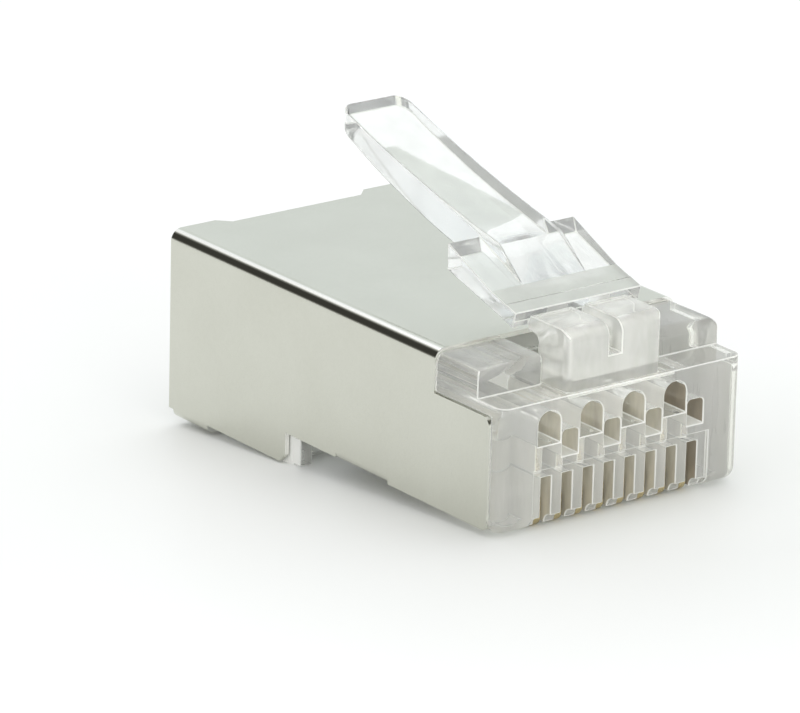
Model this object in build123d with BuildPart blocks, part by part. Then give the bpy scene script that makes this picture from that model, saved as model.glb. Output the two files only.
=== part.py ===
from build123d import *
import os
from math import cos, radians, sin, tan

# Shielded eight-way modular plug before crimping, lying on its contact side with the latch raised.
# Millimetres. +Z points to the latch side, -Y out of the mating nose, and X runs across the contacts.
# Lengths called back are measured from the front of the nose, heights from the contact face.

# Overall size
plug_width = 11.68
plug_length = 21.46
shoulder_height = 6.20
shield_rise = 0.15
tail_drop = 1.50

# Folded sheet of the shield
sheet = 0.20
wrap_clearance = 0.05
fold_radius = 0.50
flap_radius = 0.30
tail_flap_radius = 0.36
roof_front = 4.20
cheek_gap = 0.08
cheek_step = 1.62
cheek_round = 0.40
cheek_foot_round = 0.25
skirt_height = 0.05
front_flap_start = 6.95
front_flap_end = 10.30
front_seam = 0.40
window_edge = 0.14
tail_skirt_start = 13.60
tail_skirt_bevel = 0.35
tail_flap_start = 18.84
tail_flap_width = 2.40
roof_notch_depth = 0.50
roof_notch_width = 6.40
roof_notch_slant = 0.50

# Moulded nose
nose_step = 1.08
nose_length = 1.55
pillar_depth = 0.72
pillar_width = 1.60
corner_round = 0.45
lead_in_round = 0.60
lip_round = 0.10
comb_setback = 0.12
comb_ledge = 2.35
fin_round = 0.40

# Moulded body
core_round = 0.38
shoulder_round = 0.42
shoulder_corner_round = 0.40
contact_bay_end = 6.70
tail_start = 12.90
foot_length = 0.40
foot_drop = 1.12
housing_inset = 0.66
side_wall = 0.57
roof_wall = 0.65
floor_wall = 0.52
funnel_start = 6.90
funnel_end = 9.60
relief_front = 10.60
relief_width = 7.00

# Contact slots and wire holes, in two rows
contact_count = 8
contact_pitch = 1.016
comb_slot_width = 0.50
comb_slot_clearance = 0.26
wire_roof_wall = 0.24
wire_stagger = 0.90
high_hole_width = 1.08
high_hole_height = 1.34
high_hole_round = 0.50
low_hole_width = 0.78
low_hole_height = 1.04
low_hole_round = 0.18
hole_overrun = 0.90
slot_break_in = 0.22

# Contact blade
blade_thickness = 0.30
blade_slot_clearance = 0.03
blade_end_clearance = 0.12
blade_front = 0.60
blade_length = 4.90
blade_proud = 0.18
blade_heel_height = 1.00
blade_inset = 0.65
blade_round = 0.40
prong_count = 3
prong_height = 1.00
prong_base = 0.84
prong_tip = 0.12
prong_to_wire = 0.12
crimp_travel = 0.74

# Latch channel and root
channel_half = 2.60
channel_sink = 0.22
channel_lip = 0.30
channel_back = 5.40
root_half = 2.32
root_front = 0.60
root_waist = 2.40
root_back = 3.05
root_bridge = 0.62
root_bridge_round = 0.30
root_seat = 0.30
root_round = 0.55
root_edge_round = 0.35
root_slot_width = 0.62
root_slot_depth = 1.30

# Latch
hinge_back = 3.30
hinge_rise = 1.18
knuckle_radius = 0.32
hinge_clearance = 0.03
paddle_half = 3.06
paddle_slope = 16.2
neck_back = 4.44
neck_rise = 0.67
catch_back = 7.15
catch_rise = 1.86
tab_half = 1.54
tab_ramp_back = 5.95
tab_ramp_rise = 1.90
tab_tip_back = 16.25
tab_tip_rise = 4.74
tab_tip_thickness = 0.82
tab_bow_over = 0.20
tab_bow_under = 0.34
tab_tip_round = 0.55

# Strain relief bar
bar_side_gap = 0.30
bar_thickness = 0.50
bar_hinge_clearance = 0.03
bar_length = 2.40
bar_slope = 12.0
bar_tooth_height = 0.45
bar_tooth_length = 0.50
bar_window_lap = 0.12

# Values that follow from those above
wrap = sheet + wrap_clearance
plug_half = plug_width / 2
core_half = plug_half - wrap
shield_height = shoulder_height + shield_rise
core_height = shield_height - wrap
cheek_front = pillar_depth + cheek_gap
cheek_height = shoulder_height - cheek_step
shoulder_foot = cheek_height + cheek_gap
nose_height = shoulder_height - nose_step
channel_floor = nose_height - channel_sink
shoulder_flare = channel_half + shoulder_corner_round
shoulder_corner_back = nose_length + shoulder_corner_round
belly_height = skirt_height + wrap
tail_floor = -tail_drop + wrap
tail_skirt_foot = -tail_drop + tail_flap_radius
tail_flap_seam = plug_width - 2 * tail_flap_width
shoulder_back = roof_front - wrap_clearance
housing_back = plug_length - housing_inset
cavity_half = core_half - side_wall
cavity_roof = core_height - roof_wall
cavity_floor = belly_height + floor_wall
tail_cavity_floor = tail_floor + floor_wall
tail_well_start = tail_start + floor_wall + foot_length
comb_half = plug_half - pillar_width
comb_back = blade_front + blade_length + blade_end_clearance
comb_slot_height = blade_heel_height + crimp_travel + comb_slot_clearance
blade_slot_width = blade_thickness + 2 * blade_slot_clearance
blade_slot_start = blade_front + blade_inset - blade_end_clearance
blade_slot_length = blade_length - 2 * blade_inset + 2 * blade_end_clearance
wire_roof = channel_floor - wire_roof_wall
high_wire_floor = wire_roof - high_hole_height
low_wire_floor = wire_roof - wire_stagger - low_hole_height
contact_numbers = range(1, contact_count + 1)
contact_xs = [contact_pitch * (number - (contact_count + 1) / 2) for number in contact_numbers]
wire_floors = [high_wire_floor if number % 2 else low_wire_floor for number in contact_numbers]
wire_row_half = contact_xs[-1] + low_hole_width / 2
hinge_height = shoulder_height + hinge_rise
root_bridge_foot = hinge_height - root_bridge
root_flat = root_half - root_edge_round
root_corner_back = root_front + root_edge_round
neck_height = hinge_height + neck_rise
catch_height = hinge_height + catch_rise
tab_ramp_height = hinge_height + tab_ramp_rise
tab_tip_height = hinge_height + tab_tip_rise
bar_width = relief_width - 2 * bar_side_gap
bar_knuckle = bar_thickness / 2
bar_hinge_back = relief_front + bar_knuckle
bar_hinge_height = belly_height + bar_knuckle

# Working planes at the foot of the front face: seen from the side, from the front and from above
front_foot = (0, -plug_length / 2, tail_drop)
side = Plane(origin=front_foot, x_dir=(0, 1, 0), z_dir=(1, 0, 0))
front = Plane(origin=front_foot, x_dir=(1, 0, 0), z_dir=(0, -1, 0))
level = Plane(origin=front_foot, x_dir=(1, 0, 0), z_dir=(0, 0, 1))
lower_left = (Align.MIN, Align.MIN)
base_middle = (Align.CENTER, Align.MIN)
os.makedirs("parts", exist_ok=True)

# Housing
with BuildPart() as housing:
    # Core: side profile from the pillars to the cable end, with its long upper edges rounded
    with BuildSketch(side) as core_profile:
        with BuildLine():
            Polyline(
                (pillar_depth, 0),
                (contact_bay_end, 0),
                (contact_bay_end, belly_height),
                (tail_start, belly_height),
                (tail_start, -foot_drop),
                (tail_start + foot_length, -foot_drop),
                (tail_start + foot_length, tail_floor),
                (housing_back, tail_floor),
                (housing_back, core_height),
                (nose_length, core_height),
                (nose_length, nose_height),
                (pillar_depth, nose_height),
                close=True,
            )
        make_face()
    extrude(amount=core_half, both=True)
    with BuildSketch(front) as core_section:
        with Locations((0, -tail_drop)):
            Rectangle(2 * core_half, tail_drop + core_height, align=base_middle)
        fillet(core_section.vertices().group_by(Axis.Y)[-1], core_round)
    extrude(amount=-plug_length, mode=Mode.INTERSECT)

    # Shoulders: full width above the cheeks of the shield and ahead of its roof
    with BuildSketch(side) as shoulder_profile:
        with Locations((nose_length, shoulder_foot)):
            Rectangle(shoulder_back - nose_length, shoulder_height - shoulder_foot, align=lower_left)
    extrude(amount=plug_half, both=True)
    shoulder_top = housing.faces().filter_by(Axis.Z).sort_by(Axis.Z)[-1]
    shoulder_sides = shoulder_top.edges().filter_by(Axis.Y)
    shoulder_front = shoulder_top.edges().filter_by(Axis.X).sort_by(Axis.Y)[:1]
    fillet(shoulder_sides + shoulder_front, shoulder_round)

    # Nose: full width, with rounded pillars
    with BuildSketch(side) as nose_profile:
        Rectangle(pillar_depth, nose_height, align=lower_left)
        fillet(nose_profile.vertices().sort_by_distance((0, 0))[0], lead_in_round)
        with Locations((pillar_depth, shoulder_foot)):
            Rectangle(nose_length - pillar_depth, nose_height - shoulder_foot, align=lower_left)
    extrude(amount=plug_half, both=True)
    fillet(housing.edges().filter_by(Axis.Z).group_by(Axis.Y)[0], corner_round)

    # Comb front, set back below the ledge and rounded under
    with BuildSketch(side) as comb_front:
        with BuildLine():
            Polyline(
                (comb_setback + fin_round, 0),
                (comb_setback + fin_round, -fin_round),
                (-comb_setback, -fin_round),
                (-comb_setback, comb_ledge),
                (comb_setback, comb_ledge),
                (comb_setback, fin_round),
            )
            RadiusArc((comb_setback, fin_round), (comb_setback + fin_round, 0), fin_round)
        make_face()
    extrude(amount=comb_half, both=True, mode=Mode.SUBTRACT)

    # Open slots between the fins
    with BuildSketch(front) as comb_slots:
        with Locations(*[(x, 0) for x in contact_xs]):
            Rectangle(comb_slot_width, comb_slot_height, align=base_middle)
    extrude(amount=-comb_back, mode=Mode.SUBTRACT)

    # Narrow slots that guide the blades up to the wires
    with BuildSketch(front.offset(-blade_slot_start)) as blade_slots:
        for x, floor in zip(contact_xs, wire_floors):
            with Locations((x, 0)):
                Rectangle(blade_slot_width, floor + slot_break_in, align=base_middle)
    extrude(amount=-blade_slot_length, mode=Mode.SUBTRACT)

    # Wire holes: a high row with arched roofs over the odd contacts and a low row over the even ones
    with BuildSketch(front) as high_holes:
        with Locations(*[(x, high_wire_floor) for x in contact_xs[0::2]]):
            Rectangle(high_hole_width, high_hole_height, align=base_middle)
        fillet(high_holes.vertices().group_by(Axis.Y)[-1], high_hole_round)
    with BuildSketch(front) as low_holes:
        with Locations(*[(x, low_wire_floor) for x in contact_xs[1::2]]):
            Rectangle(low_hole_width, low_hole_height, align=base_middle)
        fillet(low_holes.vertices().group_by(Axis.Y)[-1], low_hole_round)
    extrude(amount=-(funnel_start + hole_overrun), mode=Mode.SUBTRACT)

    # Funnel from the cable cavity to the wire holes
    with BuildSketch(front.offset(-funnel_start)) as funnel_throat:
        with Locations((0, low_wire_floor)):
            Rectangle(2 * wire_row_half, wire_roof - low_wire_floor, align=base_middle)
    with BuildSketch(front.offset(-funnel_end)) as funnel_mouth:
        with Locations((0, cavity_floor)):
            Rectangle(2 * cavity_half, cavity_roof - cavity_floor, align=base_middle)
    loft(mode=Mode.SUBTRACT)

    # Cable cavity, and its deeper tail behind the strain relief
    with BuildSketch(side) as cavity_profile:
        with BuildLine():
            Polyline(
                (funnel_end, cavity_floor),
                (tail_well_start, cavity_floor),
                (tail_well_start, tail_cavity_floor),
                (plug_length, tail_cavity_floor),
                (plug_length, cavity_roof),
                (funnel_end, cavity_roof),
                close=True,
            )
        make_face()
    extrude(amount=cavity_half, both=True, mode=Mode.SUBTRACT)

    # Window for the strain relief bar, open to the full width behind the feet
    with BuildSketch(level.offset(-tail_drop)) as relief_window:
        with Locations((0, bar_hinge_back - bar_window_lap)):
            Rectangle(relief_width, tail_start - bar_hinge_back + bar_window_lap, align=base_middle)
        with Locations((0, tail_start)):
            Rectangle(2 * cavity_half, tail_well_start - tail_start, align=base_middle)
    extrude(amount=tail_drop + cavity_floor, mode=Mode.SUBTRACT)
    with BuildSketch(side) as bar_socket:
        with Locations((bar_hinge_back, bar_hinge_height)):
            Circle(bar_knuckle + bar_hinge_clearance)
    extrude(amount=relief_width / 2, both=True, mode=Mode.SUBTRACT)

    # Channel between the shoulders, under the latch, with the nose's front lip rounded over
    with BuildSketch(level.offset(channel_floor)) as latch_channel:
        with Locations((0, channel_lip)):
            Rectangle(2 * channel_half, channel_back - channel_lip, align=base_middle)
    extrude(amount=shoulder_height, mode=Mode.SUBTRACT)
    ledge_edges = housing.edges().filter_by(Axis.X).filter_by_position(
        Axis.Z, tail_drop + nose_height, tail_drop + nose_height
    )
    fillet(ledge_edges.group_by(Axis.Y)[0], lip_round)

    # Inner corners of the shoulders, rounded above the nose
    with BuildSketch(level.offset(nose_height)) as shoulder_corners:
        Rectangle(2 * shoulder_flare, shoulder_corner_back, align=base_middle)
        with Locations((-shoulder_flare, shoulder_corner_back), (shoulder_flare, shoulder_corner_back)):
            Circle(shoulder_corner_round, mode=Mode.SUBTRACT)
    extrude(amount=shoulder_height, mode=Mode.SUBTRACT)

    # Latch root: two rounded legs that reach back over a waist to a hollow for the latch's hinge end
    with BuildSketch(side) as root_profile:
        with BuildLine():
            Polyline(
                (root_front, channel_floor - root_seat),
                (root_waist, channel_floor - root_seat),
                (root_waist, root_bridge_foot),
                (root_back, root_bridge_foot),
                (root_back, hinge_height),
                (root_front, hinge_height),
                close=True,
            )
        make_face()
        fillet(root_profile.vertices().sort_by_distance((root_front, hinge_height))[0], root_round)
        fillet(root_profile.vertices().sort_by_distance((root_waist, root_bridge_foot))[0], root_bridge_round)
        with Locations((hinge_back, hinge_height)):
            Circle(knuckle_radius + hinge_clearance, mode=Mode.SUBTRACT)
    extrude(amount=root_half, both=True)
    with BuildSketch(front) as root_slot:
        with Locations((0, hinge_height - root_slot_depth)):
            Rectangle(root_slot_width, hinge_height, align=base_middle)
    extrude(amount=-hinge_back, mode=Mode.SUBTRACT)
    with BuildSketch(level.offset(channel_floor)) as root_corners:
        with Locations((0, root_front)):
            Rectangle(2 * root_half, root_edge_round, align=base_middle)
            Rectangle(2 * root_flat, root_edge_round, align=base_middle, mode=Mode.SUBTRACT)
        with Locations((-root_flat, root_corner_back), (root_flat, root_corner_back)):
            Circle(root_edge_round, mode=Mode.SUBTRACT)
    extrude(amount=shoulder_height, mode=Mode.SUBTRACT)

housing.part.label = "housing"
export_step(housing.part, "parts/housing.step")

# Latch
with BuildPart() as latch:
    # Paddle: round hinge end, neck and the rise to the two catches
    under_foot = (
        hinge_back + knuckle_radius * sin(radians(paddle_slope)),
        hinge_height - knuckle_radius * cos(radians(paddle_slope)),
    )
    catch_under = under_foot[1] + (catch_back - under_foot[0]) * tan(radians(paddle_slope))
    with BuildSketch(side) as paddle_profile:
        with BuildLine():
            Polyline(
                (hinge_back, hinge_height),
                under_foot,
                (catch_back, catch_under),
                (catch_back, catch_height),
                (neck_back, neck_height),
                (hinge_back, hinge_height + knuckle_radius),
                close=True,
            )
        make_face()
        with Locations((hinge_back, hinge_height)):
            Circle(knuckle_radius)
    extrude(amount=paddle_half, both=True)

    # Thumb tab: a rib that climbs off the neck, runs over the paddle and curves up to its tip
    tab_tip_under = (tab_tip_back, tab_tip_height - tab_tip_thickness)
    tab_over_middle = (
        (tab_ramp_back + tab_tip_back) / 2,
        (tab_ramp_height + tab_tip_height) / 2 - tab_bow_over,
    )
    tab_under_middle = (
        (catch_back + tab_tip_under[0]) / 2,
        (catch_under + tab_tip_under[1]) / 2 - tab_bow_under,
    )
    with BuildSketch(side) as tab_profile:
        with BuildLine():
            Line((neck_back, neck_height - knuckle_radius), (neck_back, neck_height))
            Line((neck_back, neck_height), (tab_ramp_back, tab_ramp_height))
            ThreePointArc((tab_ramp_back, tab_ramp_height), tab_over_middle, (tab_tip_back, tab_tip_height))
            Line((tab_tip_back, tab_tip_height), tab_tip_under)
            ThreePointArc(tab_tip_under, tab_under_middle, (catch_back, catch_under))
            Line((catch_back, catch_under), (neck_back, neck_height - knuckle_radius))
        make_face()
    extrude(amount=tab_half, both=True)
    tip_face = latch.faces().sort_by(Axis.Y)[-1]
    fillet(tip_face.edges().filter_by(Axis.Z), tab_tip_round)

latch.part.label = "latch"
export_step(latch.part, "parts/latch.step")

# Strain relief bar
with BuildPart() as strain_relief_bar:
    bar_frame = Plane(
        origin=side.from_local_coords((bar_hinge_back, bar_hinge_height, 0)),
        x_dir=(0, cos(radians(bar_slope)), -sin(radians(bar_slope))),
        z_dir=(1, 0, 0),
    )
    with BuildSketch(bar_frame) as bar_profile:
        Circle(bar_knuckle)
        Rectangle(bar_length, bar_thickness, align=(Align.MIN, Align.CENTER))
        with BuildLine():
            Polyline(
                (bar_length - bar_tooth_length, bar_knuckle),
                (bar_length, bar_knuckle),
                (bar_length, bar_knuckle + bar_tooth_height),
                close=True,
            )
        make_face()
    extrude(amount=bar_width / 2, both=True)

strain_relief_bar.part.label = "strain_relief_bar"
export_step(strain_relief_bar.part, "parts/strain_relief_bar.step")

# Shield
with BuildPart() as shield:
    # Roof and two walls folded from one sheet
    with BuildSketch(front) as wrap_section:
        with Locations((0, -tail_drop)):
            Rectangle(plug_width, tail_drop + shield_height, align=base_middle)
        fillet(wrap_section.vertices().group_by(Axis.Y)[-1], fold_radius)
        with BuildSketch(mode=Mode.SUBTRACT) as wrap_inside:
            with Locations((0, -tail_drop)):
                Rectangle(plug_width - 2 * sheet, tail_drop + shield_height - sheet, align=base_middle)
            fillet(wrap_inside.vertices().group_by(Axis.Y)[-1], fold_radius - sheet)
    extrude(amount=-plug_length)

    # Walls trimmed to the cheeks in front, the relief window and the tail skirt
    with BuildSketch(side) as wall_outline:
        with BuildLine():
            Polyline(
                (cheek_front, skirt_height),
                (cheek_front, cheek_height),
                (roof_front, cheek_height),
                (roof_front, shield_height),
                (plug_length, shield_height),
                (plug_length, tail_skirt_foot),
                (tail_skirt_start + tail_skirt_bevel, tail_skirt_foot),
                (tail_skirt_start, tail_skirt_foot + tail_skirt_bevel),
                (tail_skirt_start, window_edge),
                (front_flap_end, window_edge),
                (front_flap_end, skirt_height + flap_radius),
                (front_flap_start, skirt_height + flap_radius),
                (front_flap_start, skirt_height),
                close=True,
            )
        make_face()
        fillet(wall_outline.vertices().sort_by_distance((cheek_front, cheek_height))[0], cheek_round)
        fillet(wall_outline.vertices().sort_by_distance((cheek_front, skirt_height))[0], cheek_foot_round)
    extrude(amount=plug_width, both=True, mode=Mode.INTERSECT)

    # Notch in the roof's rear edge
    with BuildSketch(level) as roof_notch:
        with BuildLine():
            Polyline(
                (-roof_notch_width / 2, plug_length - roof_notch_depth),
                (roof_notch_width / 2, plug_length - roof_notch_depth),
                (roof_notch_width / 2 + roof_notch_slant, plug_length),
                (-roof_notch_width / 2 - roof_notch_slant, plug_length),
                close=True,
            )
        make_face()
    extrude(amount=shield_height, mode=Mode.SUBTRACT)

    # Flaps turned in under the body and under the cable end
    flap_runs = [
        (skirt_height, flap_radius, front_flap_start, front_flap_end, front_seam),
        (-tail_drop, tail_flap_radius, tail_flap_start, plug_length - flap_radius, tail_flap_seam),
    ]
    for flap_foot, radius, start, end, seam in flap_runs:
        with BuildSketch(front.offset(-start)) as flap_section:
            with Locations((0, flap_foot)):
                Rectangle(plug_width, radius + sheet, align=base_middle)
            fillet(flap_section.vertices().group_by(Axis.Y)[0], radius)
            with BuildSketch(mode=Mode.SUBTRACT) as flap_inside:
                with Locations((0, flap_foot + sheet)):
                    Rectangle(plug_width - 2 * sheet, radius, align=base_middle)
                fillet(flap_inside.vertices().group_by(Axis.Y)[0], radius - sheet)
            with Locations((0, flap_foot)):
                Rectangle(seam, radius + sheet, align=base_middle, mode=Mode.SUBTRACT)
        extrude(amount=start - end)

shield.part.label = "shield"
export_step(shield.part, "parts/shield.step")

# Contact blades
for number, x, floor in zip(contact_numbers, contact_xs, wire_floors):
    with BuildPart() as contact:
        blade_back = blade_front + blade_length
        prong_top = floor - prong_to_wire
        prong_foot = prong_top - prong_height
        prong_spacing = (blade_length - 2 * blade_inset - prong_base) / (prong_count - 1)
        with BuildSketch(side.offset(x)) as blade:
            with Locations((blade_front, -blade_proud)):
                Rectangle(blade_length, blade_proud + blade_heel_height, align=lower_left)
            fillet(blade.vertices().group_by(Axis.Y)[0], blade_round)
            with Locations((blade_front + blade_inset, 0)):
                Rectangle(blade_length - 2 * blade_inset, prong_foot, align=lower_left)
            for prong in range(prong_count):
                prong_middle = blade_front + blade_inset + prong_base / 2 + prong * prong_spacing
                with BuildLine():
                    Polyline(
                        (prong_middle - prong_base / 2, prong_foot),
                        (prong_middle + prong_base / 2, prong_foot),
                        (prong_middle + prong_tip / 2, prong_top),
                        (prong_middle - prong_tip / 2, prong_top),
                        close=True,
                    )
                make_face()
        extrude(amount=blade_thickness / 2, both=True)
    contact.part.label = f"contact_{number}"
    export_step(contact.part, f"parts/contact_{number}.step")
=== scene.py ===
import bmesh
import bpy
import math
from mathutils import Matrix, Vector


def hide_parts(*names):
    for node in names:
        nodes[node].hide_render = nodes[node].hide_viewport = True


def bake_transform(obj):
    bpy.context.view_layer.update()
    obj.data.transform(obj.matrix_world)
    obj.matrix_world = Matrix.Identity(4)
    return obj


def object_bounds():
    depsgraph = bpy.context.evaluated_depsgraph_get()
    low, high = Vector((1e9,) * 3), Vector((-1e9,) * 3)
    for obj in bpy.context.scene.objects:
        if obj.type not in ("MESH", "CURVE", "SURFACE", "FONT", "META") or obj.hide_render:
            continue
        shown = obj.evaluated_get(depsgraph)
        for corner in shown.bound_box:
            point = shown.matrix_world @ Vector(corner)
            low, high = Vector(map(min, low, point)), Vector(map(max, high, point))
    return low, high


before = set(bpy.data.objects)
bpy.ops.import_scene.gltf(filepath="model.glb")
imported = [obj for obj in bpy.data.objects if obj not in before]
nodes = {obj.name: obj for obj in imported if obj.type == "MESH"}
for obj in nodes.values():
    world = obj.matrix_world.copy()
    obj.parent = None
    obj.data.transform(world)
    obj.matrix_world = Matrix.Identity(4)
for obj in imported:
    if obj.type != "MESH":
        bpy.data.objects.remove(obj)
cad_low, cad_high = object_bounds()
scene = bpy.context.scene
scene.view_settings.view_transform = "Standard"
MM = 0.001

# The plug's own datum: front of the nose, level with the contact face
CONTACT_FACE_HEIGHT = 1.50
front_y = cad_low.y
contact_face_z = CONTACT_FACE_HEIGHT * MM


def plug_point(across, back, height):
    """A point given across, back from the nose and up from the contact face, in millimetres."""
    return Vector((across * MM, front_y + back * MM, contact_face_z + height * MM))


# Camera, at the photograph's angle
IMAGE_WIDTH = 800
PIXELS_PER_MM = 25.656
CAMERA_AZIMUTH = math.radians(-37.592)
CAMERA_ELEVATION = math.radians(19.22)
CAMERA_ROLL = math.radians(1.441)
CAMERA_DISTANCE = 0.25
SENSOR_WIDTH = 36
CLIP_START, CLIP_END = 0.01, 5
AIM = plug_point(0, 9.7, 4.0)
AIM_RIGHT_MM = -2.61
AIM_UP_MM = -0.643


def make_camera():
    sideways, forward = math.sin(CAMERA_AZIMUTH), math.cos(CAMERA_AZIMUTH)
    flat, up = math.cos(CAMERA_ELEVATION), math.sin(CAMERA_ELEVATION)
    back = Vector((sideways * flat, -forward * flat, up))
    right = Vector((forward, sideways, 0))
    level = Matrix((right, back.cross(right), back)).transposed()
    turn = level @ Matrix.Rotation(CAMERA_ROLL, 3, "Z")
    data = bpy.data.cameras.new("camera")
    data.sensor_width = SENSOR_WIDTH
    data.lens = PIXELS_PER_MM * CAMERA_DISTANCE / MM * data.sensor_width / IMAGE_WIDTH
    data.clip_start = CLIP_START
    data.clip_end = CLIP_END
    camera = bpy.data.objects.new("camera", data)
    scene.collection.objects.link(camera)
    target = AIM + turn @ Vector((AIM_RIGHT_MM, AIM_UP_MM, 0)) * MM
    camera.matrix_world = Matrix.Translation(target + back * CAMERA_DISTANCE) @ turn.to_4x4()
    scene.camera = camera


make_camera()


# Shader group: a soft mottle with a fine grain laid over it, from 0 to 1
MOTTLE_DETAIL, GRAIN_DETAIL = 3, 1


def make_mottle_group():
    group = bpy.data.node_groups.new("mottle_and_grain", "ShaderNodeTree")
    for name in ("Mottle Scale", "Grain Scale", "Grain Share"):
        group.interface.new_socket(name, in_out="INPUT", socket_type="NodeSocketFloat")
    group.interface.new_socket("Stretch", in_out="INPUT", socket_type="NodeSocketVector")
    group.interface.new_socket("Mask", in_out="OUTPUT", socket_type="NodeSocketFloat")
    made, links = group.nodes, group.links
    entry, leave = made.new("NodeGroupInput"), made.new("NodeGroupOutput")
    where = made.new("ShaderNodeTexCoord")
    stretched = made.new("ShaderNodeVectorMath")
    stretched.operation = "MULTIPLY"
    links.new(where.outputs["Object"], stretched.inputs[0])
    links.new(entry.outputs["Stretch"], stretched.inputs[1])
    mix = made.new("ShaderNodeMix")
    for scale, detail, socket in (("Mottle Scale", MOTTLE_DETAIL, "A"), ("Grain Scale", GRAIN_DETAIL, "B")):
        noise = made.new("ShaderNodeTexNoise")
        noise.inputs["Detail"].default_value = detail
        links.new(stretched.outputs["Vector"], noise.inputs["Vector"])
        links.new(entry.outputs[scale], noise.inputs["Scale"])
        links.new(noise.outputs["Fac"], mix.inputs[socket])
    links.new(entry.outputs["Grain Share"], mix.inputs["Factor"])
    links.new(mix.outputs["Result"], leave.inputs["Mask"])
    return group


MOTTLE = make_mottle_group()


def new_material(name):
    material = bpy.data.materials.new(name)
    material.use_nodes = True
    return material, material.node_tree.nodes, material.node_tree.links


def add_mottle(made, scale, grain_scale, grain_share, stretch=(1, 1, 1)):
    node = made.new("ShaderNodeGroup")
    node.node_tree = MOTTLE
    node.inputs["Mottle Scale"].default_value = scale
    node.inputs["Grain Scale"].default_value = grain_scale
    node.inputs["Grain Share"].default_value = grain_share
    node.inputs["Stretch"].default_value = stretch
    return node.outputs["Mask"]


def add_range(made, links, mask, start, end, low, high):
    """The mask from start to end, spread out from low to high."""
    node = made.new("ShaderNodeMapRange")
    links.new(mask, node.inputs["Value"])
    for socket, value in zip(("From Min", "From Max", "To Min", "To Max"), (start, end, low, high)):
        node.inputs[socket].default_value = value
    return node.outputs["Result"]


def add_band(made, links, value, start, end, blur):
    """One between start and end of the value, and nought beyond them."""
    node = made.new("ShaderNodeMath")
    node.operation = "MULTIPLY"
    links.new(add_range(made, links, value, start, start + blur, 0, 1), node.inputs[0])
    links.new(add_range(made, links, value, end - blur, end, 1, 0), node.inputs[1])
    return node.outputs["Value"]


def add_colour_mix(made, links, mask, first, second):
    """From the first colour to the second one, each of them a tone or another node's output."""
    node = made.new("ShaderNodeMixRGB")
    links.new(mask, node.inputs["Fac"])
    for socket, colour in (("Color1", first), ("Color2", second)):
        if isinstance(colour, tuple):
            node.inputs[socket].default_value = (*colour, 1)
        else:
            links.new(colour, node.inputs[socket])
    return node.outputs["Color"]


def add_bump(made, links, mask, strength, distance):
    node = made.new("ShaderNodeBump")
    node.inputs["Strength"].default_value = strength
    node.inputs["Distance"].default_value = distance
    links.new(mask, node.inputs["Height"])
    links.new(node.outputs["Normal"], made["Principled BSDF"].inputs["Normal"])


# The part of the mottle's values that is used, and the narrower part that draws streaks in the plastic
MOTTLE_RANGE = (0.3, 0.7)
STREAK_RANGE = (0.38, 0.62)

PLASTIC_IOR = 1.5
PLASTIC_STRETCH = (1, 1, 0.3)
PLASTIC_SHADOW = (0.95, 0.96, 0.945, 1)
STREAK_LIFT = 0.3
ROUGHNESS_SPREAD = 0.3


def polycarbonate(name, tone, clear, roughness, streak):
    """Clear moulded plastic with a slight haze, which lamps shine through."""
    material, made, links = new_material(name)
    shader = made["Principled BSDF"]
    shader.inputs["Transmission Weight"].default_value = clear
    shader.inputs["IOR"].default_value = PLASTIC_IOR
    haze = add_mottle(made, scale=900, grain_scale=5000, grain_share=0.2, stretch=PLASTIC_STRETCH)
    streaks = add_range(made, links, haze, *STREAK_RANGE, 0, 1)
    paler = tuple(min(1, (1 + STREAK_LIFT * streak) * value) for value in tone)
    deeper = tuple((1 - streak) * value for value in tone)
    links.new(add_colour_mix(made, links, streaks, deeper, paler), shader.inputs["Base Color"])
    smoothest, roughest = (1 - ROUGHNESS_SPREAD) * roughness, (1 + ROUGHNESS_SPREAD) * roughness
    uneven = add_range(made, links, haze, *MOTTLE_RANGE, smoothest, roughest)
    links.new(uneven, shader.inputs["Roughness"])
    add_bump(made, links, haze, strength=0.12 * clear, distance=0.02 * MM)
    path = made.new("ShaderNodeLightPath")
    passing = made.new("ShaderNodeBsdfTransparent")
    passing.inputs["Color"].default_value = PLASTIC_SHADOW
    mix = made.new("ShaderNodeMixShader")
    links.new(path.outputs["Is Shadow Ray"], mix.inputs["Fac"])
    links.new(shader.outputs["BSDF"], mix.inputs[1])
    links.new(passing.outputs["BSDF"], mix.inputs[2])
    links.new(mix.outputs["Shader"], made["Material Output"].inputs["Surface"])
    return material


NICKEL_DEEPER, NICKEL_PALER = (0.61, 0.614, 0.544), (0.674, 0.679, 0.61)
NICKEL_ROUGHNESS = (0.13, 0.2)
# Painted dark reflection and painted highlight along the bends
BEND_PAINTED_DARK_REFLECTION = (0.12, 0.118, 0.1)
BEND_PAINTED_HIGHLIGHT = (0.86, 0.86, 0.83)
CUT_EDGE = (0.9, 0.9, 0.87)


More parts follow.
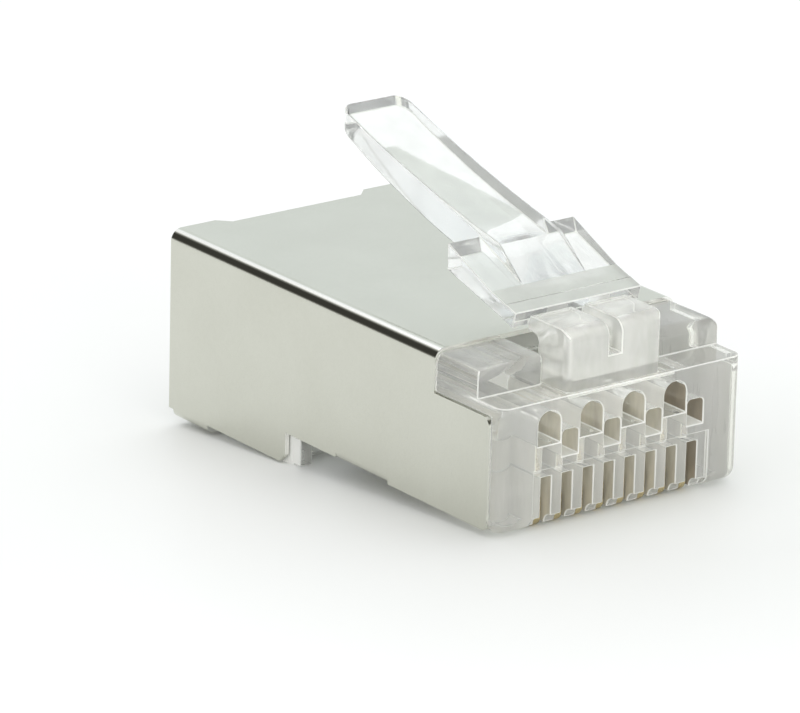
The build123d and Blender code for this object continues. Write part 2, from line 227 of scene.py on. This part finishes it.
def plated_sheet():
    """Satin nickel plating with a fine grain, with a painted dark reflection and a painted highlight along
    the bends at the roof.
    """
    material, made, links = new_material("nickel_sheet")
    shader = made["Principled BSDF"]
    shader.inputs["Metallic"].default_value = 1
    plating = add_mottle(made, scale=260, grain_scale=16000, grain_share=0.5)
    mask = add_range(made, links, plating, *MOTTLE_RANGE, 0, 1)
    plain = add_colour_mix(made, links, mask, NICKEL_DEEPER, NICKEL_PALER)
    where = made.new("ShaderNodeTexCoord")
    facing = made.new("ShaderNodeSeparateXYZ")
    links.new(where.outputs["Normal"], facing.inputs["Vector"])
    # Facing up is one on the roof and nought on the walls, so a band of it runs along each bend; a dark
    # reflection and a highlight are painted in these bands
    dark_reflection_band = add_band(made, links, facing.outputs["Z"], start=0.27, end=0.75, blur=0.08)
    highlight_band = add_band(made, links, facing.outputs["Z"], start=0.75, end=0.97, blur=0.05)
    with_dark_reflection = add_colour_mix(made, links, dark_reflection_band, plain, BEND_PAINTED_DARK_REFLECTION)
    with_highlight = add_colour_mix(made, links, highlight_band, with_dark_reflection, BEND_PAINTED_HIGHLIGHT)
    cut = add_range(made, links, facing.outputs["Y"], start=-0.9, end=-0.98, low=0, high=1)
    edged = add_colour_mix(made, links, cut, with_highlight, CUT_EDGE)
    links.new(edged, shader.inputs["Base Color"])
    links.new(add_range(made, links, plating, *MOTTLE_RANGE, *NICKEL_ROUGHNESS), shader.inputs["Roughness"])
    add_bump(made, links, plating, strength=0.06, distance=0.01 * MM)
    return material


GOLD_DEEPER, GOLD_PALER = (0.50, 0.42, 0.24), (0.72, 0.62, 0.38)
GOLD_ROUGHNESS = (0.2, 0.36)


def plated_blade():
    """Gold plating over the stamped contact blades."""
    material, made, links = new_material("gold_plate")
    shader = made["Principled BSDF"]
    shader.inputs["Metallic"].default_value = 1
    plating = add_mottle(made, scale=900, grain_scale=20000, grain_share=0.4)
    links.new(add_colour_mix(made, links, plating, GOLD_DEEPER, GOLD_PALER), shader.inputs["Base Color"])
    links.new(add_range(made, links, plating, *MOTTLE_RANGE, *GOLD_ROUGHNESS), shader.inputs["Roughness"])
    add_bump(made, links, plating, strength=0.1, distance=0.01 * MM)
    return material


# Finishes of the clear plastic, several of them painted light and painted shade: tone, clearness, roughness
# and depth of the streaks
CLEAR = polycarbonate("clear_polycarbonate", (0.95, 0.965, 0.955), 0.88, 0.04, 0.08)
HAZY = polycarbonate("hazy_polycarbonate", (0.985, 0.995, 0.95), 0.76, 0.02, 0.08)
FROSTED = polycarbonate("frosted_polycarbonate", (0.97, 0.98, 0.94), 0.7, 0.08, 0.12)
# Painted shade and a painted reflection of the gold contacts, brown, on the slot and hole walls that face
# left
SHADED = polycarbonate("shaded_polycarbonate", (0.72, 0.68, 0.58), 0.35, 0.12, 0.25)
# Painted highlight on the rounded edges and on the floors of the low holes
EDGE_HIGHLIGHT = polycarbonate("edge_highlight_polycarbonate", (0.97, 0.975, 0.94), 0.35, 0.1, 0.04)
# Painted light on the faces under the shield and inside the cavity
INSIDE_PAINTED_LIGHT = polycarbonate("inside_painted_light_polycarbonate", (0.96, 0.965, 0.93), 0.1, 0.3, 0.03)
# Deeper painted shade on the walls that face left in the holes furthest right
DEEP_PAINTED_SHADE = polycarbonate("deep_painted_shade_polycarbonate", (0.36, 0.31, 0.24), 0.3, 0.12, 0.2)
# Painted shade on the level faces of the latch by its neck
NECK_PAINTED_SHADE = polycarbonate("neck_painted_shade_polycarbonate", (0.62, 0.64, 0.60), 0.45, 0.12, 0.06)
# Painted light, pale, on the slot and hole walls that face right
WALL_PAINTED_LIGHT = polycarbonate("wall_painted_light_polycarbonate", (0.93, 0.915, 0.86), 0.15, 0.2, 0.1)
FINISHES = [CLEAR, HAZY, FROSTED, SHADED, EDGE_HIGHLIGHT, INSIDE_PAINTED_LIGHT, DEEP_PAINTED_SHADE, NECK_PAINTED_SHADE, WALL_PAINTED_LIGHT]
NICKEL = plated_sheet()
GOLD = plated_blade()


# Housing and latch as the one clear moulding that they are, joined by the hinge between them
MERGE_DISTANCE = 0.0005 * MM
CONTACT_COUNT = 8
CONTACT_PITCH = 1.016 * MM
HINGE = plug_point(0, 3.30, 7.38)
LATCH_SLOPE = math.radians(16.2)
WEB_WIDTH = 6.12 * MM
WEB_THICKNESS = 0.66 * MM


def merged_copy(name):
    work = bmesh.new()
    work.from_mesh(nodes[name].data)
    bmesh.ops.remove_doubles(work, verts=work.verts, dist=MERGE_DISTANCE)
    mesh = bpy.data.meshes.new(f"{name}_copy")
    work.to_mesh(mesh)
    work.free()
    copy = bpy.data.objects.new(f"{name}_copy", mesh)
    scene.collection.objects.link(copy)
    return copy


def hinge_web():
    """The flat end of the latch, where it springs from the legs of its root."""
    turn = Matrix.Translation(HINGE) @ Matrix.Rotation(LATCH_SLOPE, 4, "X")
    size = Matrix.Diagonal((WEB_WIDTH, WEB_THICKNESS, WEB_THICKNESS, 1))
    work = bmesh.new()
    bmesh.ops.create_cube(work, size=1, matrix=turn @ size)
    mesh = bpy.data.meshes.new("hinge_web")
    work.to_mesh(mesh)
    work.free()
    web = bpy.data.objects.new("hinge_web", mesh)
    scene.collection.objects.link(web)
    return web


# Where the finishes lie, in millimetres: half widths, back from the nose and up from the contact face
LATCH_BACK, NECK_BACK, LATCH_FOOT = 3.0, 4.6, 7.05
ROOT_HALF, ROOT_FRONT, ROOT_BACK, ROOT_FOOT = 2.4, 0.5, 3.2, 4.95
COMB_HALF, COMB_FRONT, COMB_BACK, COMB_ROOF = 4.3, 0.1, 7, 4.4
SLOT_WALLS_HALF = 3.95
RIGHT_HOLES_ACROSS = 2.9
HOLE_FLOOR_LOWEST, HOLE_FLOOR_HIGHEST = 2.6, 2.8
SHIELDED_FRONT, SHIELDED_HALF, SHIELDED_FOOT, SHIELDED_ROOF = 4.3, 5.4, 0.2, 5.9
CAVITY_HALF, CAVITY_FRONT, CAVITY_FLOOR, CAVITY_ROOF = 5.3, 5, 0.5, 5.45

# How squarely a face has to look one way, from 0 to 1
SQUARE_ON = 0.8
MOSTLY_UP = 0.5


def slot_wall_finish(centre, normal):
    """Painted shade and painted reflection, brown, on the walls that face left, deepest in the holes
    furthest right, and painted light, pale, on the others.
    """
    if normal.x > 0:
        return WALL_PAINTED_LIGHT
    return DEEP_PAINTED_SHADE if centre.x > RIGHT_HOLES_ACROSS * MM else SHADED


def finish_of(centre, normal):
    """The finish of a face of the clear moulding, by its place and the way that it faces; several finishes
    are painted light and painted shade.
    """
    across = abs(centre.x) / MM
    back = (centre.y - front_y) / MM
    height = (centre.z - contact_face_z) / MM
    level = normal.z > SQUARE_ON
    if height > LATCH_FOOT and back > LATCH_BACK:
        # Painted shade on the level faces by the neck
        return NECK_PAINTED_SHADE if back < NECK_BACK and level else CLEAR
    if across < ROOT_HALF and ROOT_FRONT < back < ROOT_BACK and height > ROOT_FOOT:
        return FROSTED
    if COMB_FRONT < back < COMB_BACK and across < COMB_HALF and height < COMB_ROOF:
        if abs(normal.x) > SQUARE_ON and across < SLOT_WALLS_HALF:
            return slot_wall_finish(centre, normal)
        # Painted glint on the floors of the low holes
        if level and HOLE_FLOOR_LOWEST < height < HOLE_FLOOR_HIGHEST:
            return EDGE_HIGHLIGHT
    # Painted light on the faces under the shield, and below on the faces inside the cavity
    if back > SHIELDED_FRONT and height > SHIELDED_FOOT:
        if across > SHIELDED_HALF or (height > SHIELDED_ROOF and normal.z > MOSTLY_UP):
            return INSIDE_PAINTED_LIGHT
    if across < CAVITY_HALF and height < CAVITY_ROOF and back > CAVITY_FRONT:
        if height > CAVITY_FLOOR or level:
            return INSIDE_PAINTED_LIGHT
    return HAZY


# Angles between faces, in degrees: flat, nearly flat, the least on a rounded corner, and a sharp edge
FLATNESS = 0.5
NEARLY_FLAT = 3
FACET_LEAST = 15
SHARP = 40

NARROW_FACE = 0.15 * MM
CUT_DISTANCE = 0.0001 * MM
EDGE_ROUNDING = 0.04 * MM
EDGE_STEPS = 2


def blends_over(edge):
    """Whether the surface runs smoothly over this edge, as on a facet of a rounded corner."""
    if len(edge.link_faces) != 2:
        return False
    turn = math.degrees(edge.calc_face_angle(0))
    widths = [face.calc_area() / max(side.calc_length() for side in face.edges) for face in edge.link_faces]
    return turn < NEARLY_FLAT or FACET_LEAST < turn < SHARP or (turn < SHARP and min(widths) < NARROW_FACE)


def make_faces_whole(work):
    """Join the triangles of each flat face again, parted only along the middle of every contact slot."""
    for number in range(CONTACT_COUNT):
        geometry = work.verts[:] + work.edges[:] + work.faces[:]
        middle = Vector((CONTACT_PITCH * (number - (CONTACT_COUNT - 1) / 2), 0, 0))
        cut = bmesh.ops.bisect_plane(
            work, geom=geometry, dist=CUT_DISTANCE, plane_co=middle, plane_no=(1, 0, 0))
        for part in cut["geom_cut"]:
            if isinstance(part, bmesh.types.BMEdge):
                part.seam = True
    limit = math.radians(FLATNESS)
    bmesh.ops.dissolve_limit(work, angle_limit=limit, verts=work.verts, edges=work.edges, delimit={"SEAM"})


def taken_as_made(obj):
    """Keep what the modifiers make of the object as its own mesh."""
    graph = bpy.context.evaluated_depsgraph_get()
    mesh = bpy.data.meshes.new_from_object(obj.evaluated_get(graph))
    obj.modifiers.clear()
    obj.data = mesh
    return mesh


def make_clear_moulding():
    moulding = merged_copy("housing")
    moulding.name = "clear_moulding"
    tools = [merged_copy("latch"), hinge_web()]
    for tool in tools:
        union = moulding.modifiers.new("union", "BOOLEAN")
        union.operation = "UNION"
        union.solver = "EXACT"
        union.object = tool
    mesh = taken_as_made(moulding)
    for tool in tools:
        bpy.data.objects.remove(tool)
    mesh.materials.clear()
    for finish in FINISHES:
        mesh.materials.append(finish)
    work = bmesh.new()
    work.from_mesh(mesh)
    make_faces_whole(work)
    for face in work.faces:
        face.smooth = True
        face.material_index = FINISHES.index(finish_of(face.calc_center_median(), face.normal))
    for edge in work.edges:
        edge.smooth = blends_over(edge)
    work.to_mesh(mesh)
    work.free()
    bevel = moulding.modifiers.new("edges", "BEVEL")
    bevel.width = EDGE_ROUNDING
    bevel.segments = EDGE_STEPS
    bevel.limit_method = "ANGLE"
    bevel.angle_limit = math.radians(SHARP)
    bevel.use_clamp_overlap = False
    # The rounded edges take the painted highlight
    bevel.material = FINISHES.index(EDGE_HIGHLIGHT)
    even = moulding.modifiers.new("even", "WEIGHTED_NORMAL")
    even.keep_sharp = True
    taken_as_made(moulding)
    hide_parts("housing", "latch")
    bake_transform(moulding)


make_clear_moulding()
for name, node in nodes.items():
    node.data.materials.clear()
    if name.startswith("contact"):
        node.data.materials.append(GOLD)
    elif name == "shield":
        node.data.materials.append(NICKEL)
    else:
        node.data.materials.append(HAZY)


# Floor, leaning so that it meets the feet and the contact tips, and level further out
FLOOR_FOOT = plug_point(0, 13.0, -1.14)
FLOOR_TIP = plug_point(0, 1.0, -0.18)
FLOOR_REACH = 25 * MM
FLOOR_HALF = 0.4
FLOOR_STEPS = 60

# A soft shadow is painted into its white close to the nose
PAINTED_SHADOW_MIDDLE = plug_point(3, -2.5, 0)
PAINTED_SHADOW_NEAR, PAINTED_SHADOW_FAR = 5 * MM, 22 * MM
FLOOR_PAINTED_SHADOW, FLOOR_WHITE = (0.86, 0.872, 0.855), (0.958, 0.968, 0.958)


def floor_white():
    material, made, links = new_material("floor_white")
    shader = made["Principled BSDF"]
    where = made.new("ShaderNodeTexCoord")
    away = made.new("ShaderNodeVectorMath")
    away.operation = "DISTANCE"
    links.new(where.outputs["Object"], away.inputs[0])
    away.inputs[1].default_value = PAINTED_SHADOW_MIDDLE
    outside_painted_shadow = add_range(made, links, away.outputs["Value"], PAINTED_SHADOW_NEAR, PAINTED_SHADOW_FAR, 0, 1)
    links.new(add_colour_mix(made, links, outside_painted_shadow, FLOOR_PAINTED_SHADOW, FLOOR_WHITE), shader.inputs["Base Color"])
    shader.inputs["Roughness"].default_value = 0.5
    shader.inputs["Specular IOR Level"].default_value = 0.3
    return material


def make_floor():
    rise = (FLOOR_TIP.z - FLOOR_FOOT.z) / math.tanh((FLOOR_FOOT.y - FLOOR_TIP.y) / FLOOR_REACH)
    profile = []
    for i in range(FLOOR_STEPS + 1):
        share = 2 * i / FLOOR_STEPS - 1
        y = FLOOR_HALF * share * abs(share)
        profile.append((y, FLOOR_FOOT.z + rise * math.tanh((FLOOR_FOOT.y - y) / FLOOR_REACH)))
    verts = [(x, y, z) for y, z in profile for x in (-FLOOR_HALF, FLOOR_HALF)]
    faces = [(2 * i, 2 * i + 1, 2 * i + 3, 2 * i + 2) for i in range(FLOOR_STEPS)]
    mesh = bpy.data.meshes.new("floor")
    mesh.from_pydata(verts, [], faces)
    mesh.shade_smooth()
    mesh.materials.append(floor_white())
    floor = bpy.data.objects.new("floor", mesh)
    scene.collection.objects.link(floor)


make_floor()


def area_light(name, place, target, size, power):
    data = bpy.data.lights.new(name, "AREA")
    data.shape = "SQUARE"
    data.size = size
    data.energy = power
    lamp = bpy.data.objects.new(name, data)
    lamp.location = place
    lamp.rotation_mode = "QUATERNION"
    lamp.rotation_quaternion = (Vector(target) - Vector(place)).to_track_quat("-Z", "Y")
    scene.collection.objects.link(lamp)


area_light("overhead_softbox", place=(0.1, 0.25, 0.6), target=(0, 0, 0), size=0.5, power=0.6)
area_light("front_softbox", place=(-0.08, -0.42, 0.055), target=(0, 0, 0.004), size=0.3, power=0.68)


# World: white all round, with a pale grey field that the roof mirrors and a darker one behind at the left
WORLD_WHITE = (1.0, 1.0, 1.0)
WORLD_FIELDS = (
    ((0.576, 0.748, 0.329), 45, 12, (0.903, 0.949, 0.959)),
    ((-0.573, 0.748, 0.334), 31, 23, (0.3, 0.3, 0.285)),
)


def make_world():
    """Each field has a direction, the angles from it in degrees where it begins and is full, and a tone."""
    world = bpy.data.worlds.new("studio")
    scene.world = world
    world.use_nodes = True
    made, links = world.node_tree.nodes, world.node_tree.links
    where = made.new("ShaderNodeTexCoord")
    colour = WORLD_WHITE
    for direction, outer, inner, tone in WORLD_FIELDS:
        toward = made.new("ShaderNodeVectorMath")
        toward.operation = "DOT_PRODUCT"
        links.new(where.outputs["Generated"], toward.inputs[0])
        toward.inputs[1].default_value = Vector(direction).normalized()
        shade = made.new("ShaderNodeMapRange")
        shade.interpolation_type = "SMOOTHSTEP"
        links.new(toward.outputs["Value"], shade.inputs["Value"])
        shade.inputs["From Min"].default_value = math.cos(math.radians(outer))
        shade.inputs["From Max"].default_value = math.cos(math.radians(inner))
        colour = add_colour_mix(made, links, shade.outputs["Result"], colour, tone)
    links.new(colour, made["Background"].inputs["Color"])


make_world()
